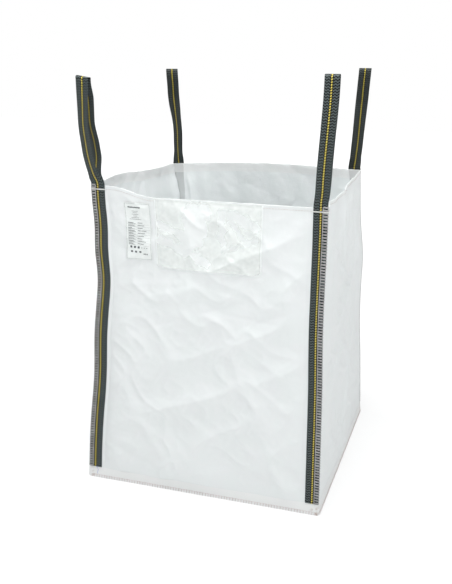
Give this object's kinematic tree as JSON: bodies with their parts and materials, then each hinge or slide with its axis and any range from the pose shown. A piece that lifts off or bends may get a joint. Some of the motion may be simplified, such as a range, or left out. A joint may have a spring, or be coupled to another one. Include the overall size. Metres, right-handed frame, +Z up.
{
  "type": "bulk bag",
  "caption": "Square bulk bag of white woven fabric with an open hemmed mouth, a flat base, a webbing lifting loop at each corner, a label and a clear document pouch.",
  "frame": {"origin": "centre of the underside of the base", "axes": "+Z up, -Y towards the front wall with the label and the pouch, +X to the right as seen from the front"},
  "size_m": [0.9086, 0.903, 1.5267],
  "materials": {
    "woven_fabric": "white coated flat-tape weave, a little translucent, with a faint sheen",
    "folded_fabric": "the same weave, folded double",
    "thread": "pale grey multifilament sewing thread",
    "webbing": "charcoal herringbone webbing with one yellow stripe down its middle",
    "label": "white film printed in grey",
    "film": "clear crinkled film"
  },
  "bodies": {
    "bag": {"base_panel": "woven_fabric", "front_panel": "woven_fabric", "right_panel": "woven_fabric", "back_panel": "woven_fabric", "left_panel": "woven_fabric", "front_hem": "folded_fabric", "right_hem": "folded_fabric", "back_hem": "folded_fabric", "left_hem": "folded_fabric", "front_rim_stitching": "thread", "right_rim_stitching": "thread", "back_rim_stitching": "thread", "left_rim_stitching": "thread", "front_base_fold": "folded_fabric", "right_base_fold": "folded_fabric", "back_base_fold": "folded_fabric", "left_base_fold": "folded_fabric", "front_base_seam": "thread", "right_base_seam": "thread", "back_base_seam": "thread", "left_base_seam": "thread", "front_left_strap_inner_run": "webbing", "front_right_strap_inner_run": "webbing", "back_left_strap_inner_run": "webbing", "back_right_strap_inner_run": "webbing", "front_left_strap_outer_run": "webbing", "front_right_strap_outer_run": "webbing", "back_left_strap_outer_run": "webbing", "back_right_strap_outer_run": "webbing", "front_left_corner_seam": "thread", "front_right_corner_seam": "thread", "back_left_corner_seam": "thread", "back_right_corner_seam": "thread", "label_stitching": "thread", "pouch_header": "film"},
    "front_left_loop": {"front_left_lifting_loop": "webbing"},
    "front_right_loop": {"front_right_lifting_loop": "webbing"},
    "back_left_loop": {"back_left_lifting_loop": "webbing"},
    "back_right_loop": {"back_right_lifting_loop": "webbing"},
    "label": {"label_card": "label"},
    "pouch": {"pouch_back_film": "film", "pouch_edge_seal": "film", "pouch_front_film": "film"}
  },
  "joints": [
    {"name": "front_left_loop_fold", "type": "hinge", "parent": "bag", "child": "front_left_loop", "pos_m": [-0.399, -0.4289, 1.12], "axis": [1, 0, 0], "range_deg": [-80, 172]},
    {"name": "front_right_loop_fold", "type": "hinge", "parent": "bag", "child": "front_right_loop", "pos_m": [0.399, -0.4289, 1.12], "axis": [1, 0, 0], "range_deg": [-80, 172]},
    {"name": "back_left_loop_fold", "type": "hinge", "parent": "bag", "child": "back_left_loop", "pos_m": [-0.399, 0.4289, 1.12], "axis": [-1, 0, 0], "range_deg": [-80, 172]},
    {"name": "back_right_loop_fold", "type": "hinge", "parent": "bag", "child": "back_right_loop", "pos_m": [0.399, 0.4289, 1.12], "axis": [-1, 0, 0], "range_deg": [-80, 172]},
    {"name": "label_lift", "type": "hinge", "parent": "bag", "child": "label", "pos_m": [-0.254, -0.42542, 1.06702], "axis": [-1, 0, 0], "range_deg": [0, 160]},
    {"name": "pouch_lift", "type": "hinge", "parent": "bag", "child": "pouch", "pos_m": [0.009, -0.42553, 1.08503], "axis": [-1, 0, 0], "range_deg": [0, 160]}
  ]
}
